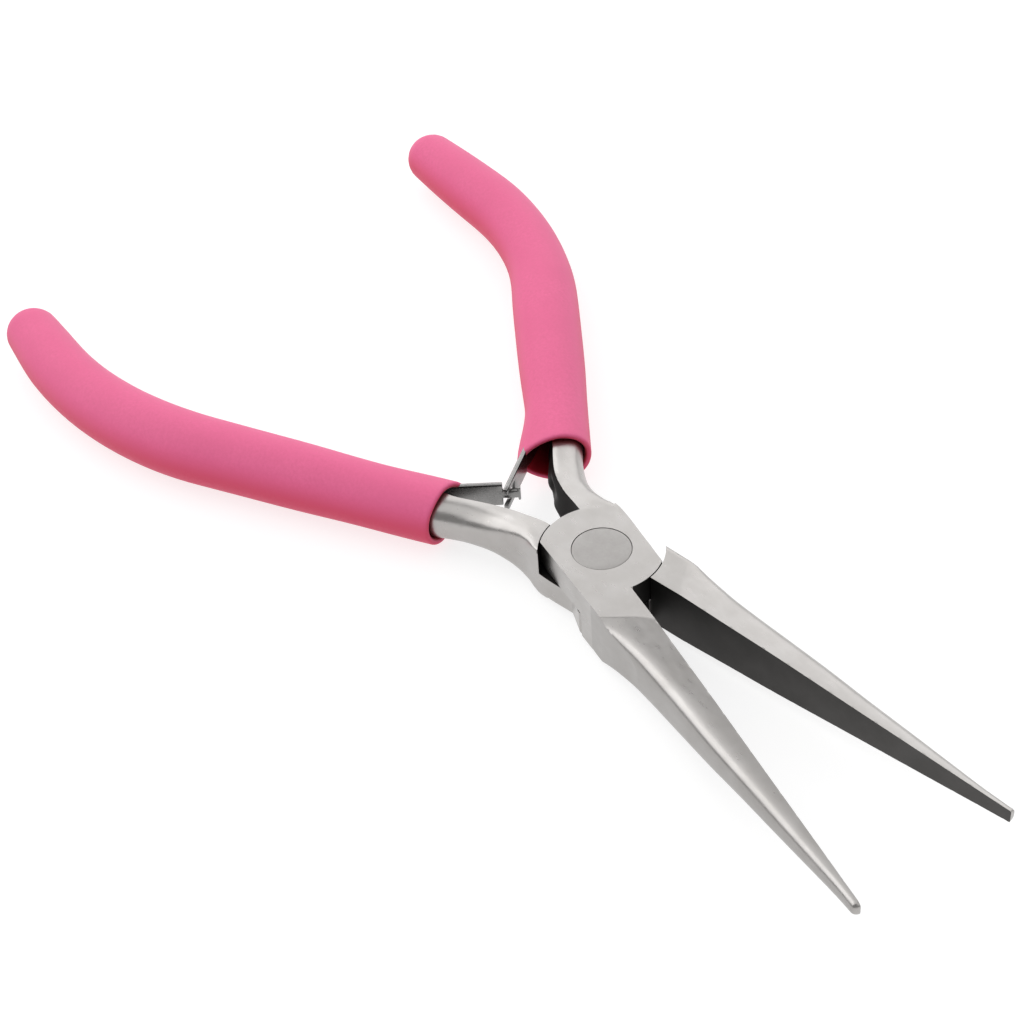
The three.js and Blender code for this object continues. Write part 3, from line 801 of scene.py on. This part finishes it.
def grip(name, half, body, node, material):
    """A dipped sleeve: one skin from its closed end to the rolled rim, and back down the bore."""
    handle, shape = HANDLE[half], GRIP[half]
    angle = math.radians(handle["angle"])
    points, faces, bore = [], [], []

    def ring(x, wall, forward=0.0, shrink=1.0, inside=0.0):
        """One ring of the skin. forward moves it along the spine, towards the mouth."""
        y = float(spine_y(handle, x))
        heading = math.atan(float(spine_slope(handle, x)))
        way = np.array([math.cos(heading), math.sin(heading)])
        inward = np.array([way[1], -way[0]])
        depth = (shape["mouth_x"] - x) / math.cos(angle)
        near = 1 - float(smooth(depth, -1.0, 10.5))
        radius = float(shape["radius"](x)) - wall
        for k in range(GRIP_SIDES):
            turn = 2 * math.pi * k / GRIP_SIDES
            side, up = math.cos(turn), math.sin(turn)
            power = mix(1.0, 1.22 if side > 0 else 0.96, near)
            spread = shape["lobe"] * near if side > 0 else 0.0
            across = math.copysign(abs(side) ** power, side) * (radius + spread) * shrink
            half_height = mix(radius - 0.12, radius - 0.02, near)
            height = math.copysign(abs(up) ** power, up) * half_height * shrink
            lobe, setback = LOBE_REACH[half] * max(side, 0) ** 2, SIDE_SETBACK * max(-side, 0) ** 2
            centre = np.array([x, y]) + inward * across + way * (near * (lobe - setback) + forward)
            points.append((centre[0], centre[1], height))
            bore.append(inside)

    end_radius = float(shape["radius"](handle["end_x"]))
    cap = [(math.cos(a), math.sin(a)) for a in np.linspace(1.45, 0, 9)]
    for shrink, rise in cap:
        ring(handle["end_x"], 0, forward=-end_radius * rise, shrink=shrink)
    for x in np.linspace(handle["end_x"], shape["mouth_x"] - 0.7, 80)[1:]:
        ring(float(x), 0)
    lip = LIP_WALL / 2
    rim_x = shape["mouth_x"] - lip * math.cos(angle)
    for a in np.linspace(0, math.pi, 9):
        # the painted shade of the bore starts round the inner half of the rolled rim
        inside = float(smooth(a, 1.7, 2.6))
        ring(rim_x, lip * (1 - math.cos(a)), forward=lip * math.sin(a), inside=inside)
    for x in np.linspace(rim_x - 0.4, rim_x - 30, 32):
        ring(float(x), mix(LIP_WALL, GRIP_WALL, float(smooth(rim_x - x, 0.4, 6))), inside=1.0)
    rows = len(points) // GRIP_SIDES
    for row in range(rows - 1):
        for k in range(GRIP_SIDES):
            a, b = row * GRIP_SIDES + k, row * GRIP_SIDES + (k + 1) % GRIP_SIDES
            faces.append((a, b, b + GRIP_SIDES, a + GRIP_SIDES))
    for row in (0, rows - 1):
        centre = np.mean(points[row * GRIP_SIDES:(row + 1) * GRIP_SIDES], axis=0)
        points.append(tuple(centre))
        bore.append(1.0 if row else 0.0)
        for k in range(GRIP_SIDES):
            a, b = row * GRIP_SIDES + k, row * GRIP_SIDES + (k + 1) % GRIP_SIDES
            faces.append((b, a, len(points) - 1) if row == 0 else (a, b, len(points) - 1))
    piece = mesh_object(name, place(points, half), faces, material, body, [node])
    built = bmesh.new()
    built.from_mesh(piece.data)
    bmesh.ops.recalc_face_normals(built, faces=built.faces)
    built.to_mesh(piece.data)
    built.free()
    # painted shade inside the bore
    shade = piece.data.attributes.new("bore", "FLOAT", "POINT")
    shade.data.foreach_set("value", np.array(bore, np.float32))
    # painted shade: how far each point's skin faces down
    normals = np.array([vertex.normal for vertex in piece.data.vertices])
    under = piece.data.attributes.new("underside_painted_shade", "FLOAT", "POINT")
    under.data.foreach_set("value", smooth(-normals[:, 2], -0.75, 0.12).astype(np.float32))
    return piece


# ---------------------------------------------------------------- build the pieces

steel = satin_steel()
spring = spring_steel()
vinyl = pink_vinyl()

lever("lever_a_forging", UPPER, "lever_a", "lever_a", steel)
lever("lever_b_forging", LOWER, "lever_b", "lever_b", steel)
pivot_rivet(rivet_steel())
fork_leaf(spring)
tongue_leaf(spring)
leaf_rivet("leaf_rivet_a_head", UPPER, "lever_a", "leaf_rivet_a", spring)
leaf_rivet("leaf_rivet_b_head", LOWER, "lever_b", "leaf_rivet_b", spring)
grip("grip_a_sleeve", UPPER, "lever_a", "grip_a", vinyl)
grip("grip_b_sleeve", LOWER, "lever_b", "grip_b", vinyl)


# ---------------------------------------------------------------- floor, light and camera

FLOOR_GLOW = 0.755  # keeps the floor as pale as a lit sweep
FLOOR_REACH = 3.0  # in metres, like all lengths from here on
PANEL_DISTANCE = 0.8


def floor():
    material, tree, shader = node_material("pale_floor")
    speck = noise(tree, 60, detail=2)
    tint = mixed(tree, speck, (0.32, 0.32, 0.32), (0.34, 0.34, 0.34))
    tree.links.new(tint, shader.inputs["Base Color"])
    shader.inputs["Roughness"].default_value = 0.9
    shader.inputs["Specular IOR Level"].default_value = 0.1
    shader.inputs["Emission Color"].default_value = (1, 1, 1, 1)
    shader.inputs["Emission Strength"].default_value = FLOOR_GLOW
    reach = FLOOR_REACH
    level = cad_box[0].z - 0.1 * MM
    corners = [(x * reach, y * reach, level) for x, y in ((-1, -1), (1, -1), (1, 1), (-1, 1))]
    mesh = bpy.data.meshes.new("floor")
    mesh.from_pydata(corners, [], [(0, 1, 2, 3)])
    mesh.materials.append(material)
    ground = bpy.data.objects.new("floor", mesh)
    bpy.context.scene.collection.objects.link(ground)


def panel(name, azimuth, elevation, width, height, radiance):
    """A soft light panel far from the tool, by its direction and angular size in degrees."""
    data = bpy.data.lights.new(name, "AREA")
    data.shape = "RECTANGLE"
    data.size = 2 * PANEL_DISTANCE * math.tan(math.radians(width / 2))
    data.size_y = 2 * PANEL_DISTANCE * math.tan(math.radians(height / 2))
    data.energy = radiance * math.pi * data.size * data.size_y
    lamp = bpy.data.objects.new(name, data)
    bpy.context.scene.collection.objects.link(lamp)
    azimuth, elevation = math.radians(azimuth), math.radians(elevation)
    out = math.cos(elevation)
    way = Vector((math.cos(azimuth) * out, math.sin(azimuth) * out, math.sin(elevation)))
    lamp.location = way * PANEL_DISTANCE
    lamp.rotation_mode = "QUATERNION"
    lamp.rotation_quaternion = way.to_track_quat("Z", "Y")
    lamp.visible_camera = False


def studio():
    world = bpy.data.worlds.new("studio")
    world.use_nodes = True
    background = world.node_tree.nodes["Background"]
    background.inputs["Color"].default_value = (1.0, 1.0, 1.0, 1)
    background.inputs["Strength"].default_value = 0.3
    bpy.context.scene.world = world
    panel("key_left", 212, 38, 84, 38, 1.75)
    panel("back", 117, 30, 74, 46, 1.35)
    panel("overhead", 230, 80, 56, 56, 0.75)
    panel("right", 20, 42, 60, 40, 0.7)


# The camera stands where it does in the photo, found by fitting the tool's own outline.
CAMERA_PLACE = Vector((156.405, -112.806, 185.395 + MIDDLE)) * MM
CAMERA_WAY = Vector((-0.62333, 0.40035, -0.67170))
CAMERA_ROLL = math.radians(-4.704)
CAMERA_LENS = 77.31
SENSOR = 36


def camera():
    data = bpy.data.cameras.new("camera")
    data.lens, data.sensor_width = CAMERA_LENS, SENSOR
    data.clip_start, data.clip_end = 0.01, 20
    eye = bpy.data.objects.new("camera", data)
    bpy.context.scene.collection.objects.link(eye)
    level_right = CAMERA_WAY.cross(Vector((0, 0, 1))).normalized()
    level_up = level_right.cross(CAMERA_WAY)
    right = level_right * math.cos(CAMERA_ROLL) + level_up * math.sin(CAMERA_ROLL)
    up = right.cross(CAMERA_WAY)
    turn = Matrix((right, up, -CAMERA_WAY)).transposed().to_4x4()
    eye.matrix_world = Matrix.Translation(CAMERA_PLACE) @ turn
    bpy.context.scene.camera = eye


floor()
studio()
camera()
bpy.context.scene.view_settings.view_transform = "Standard"
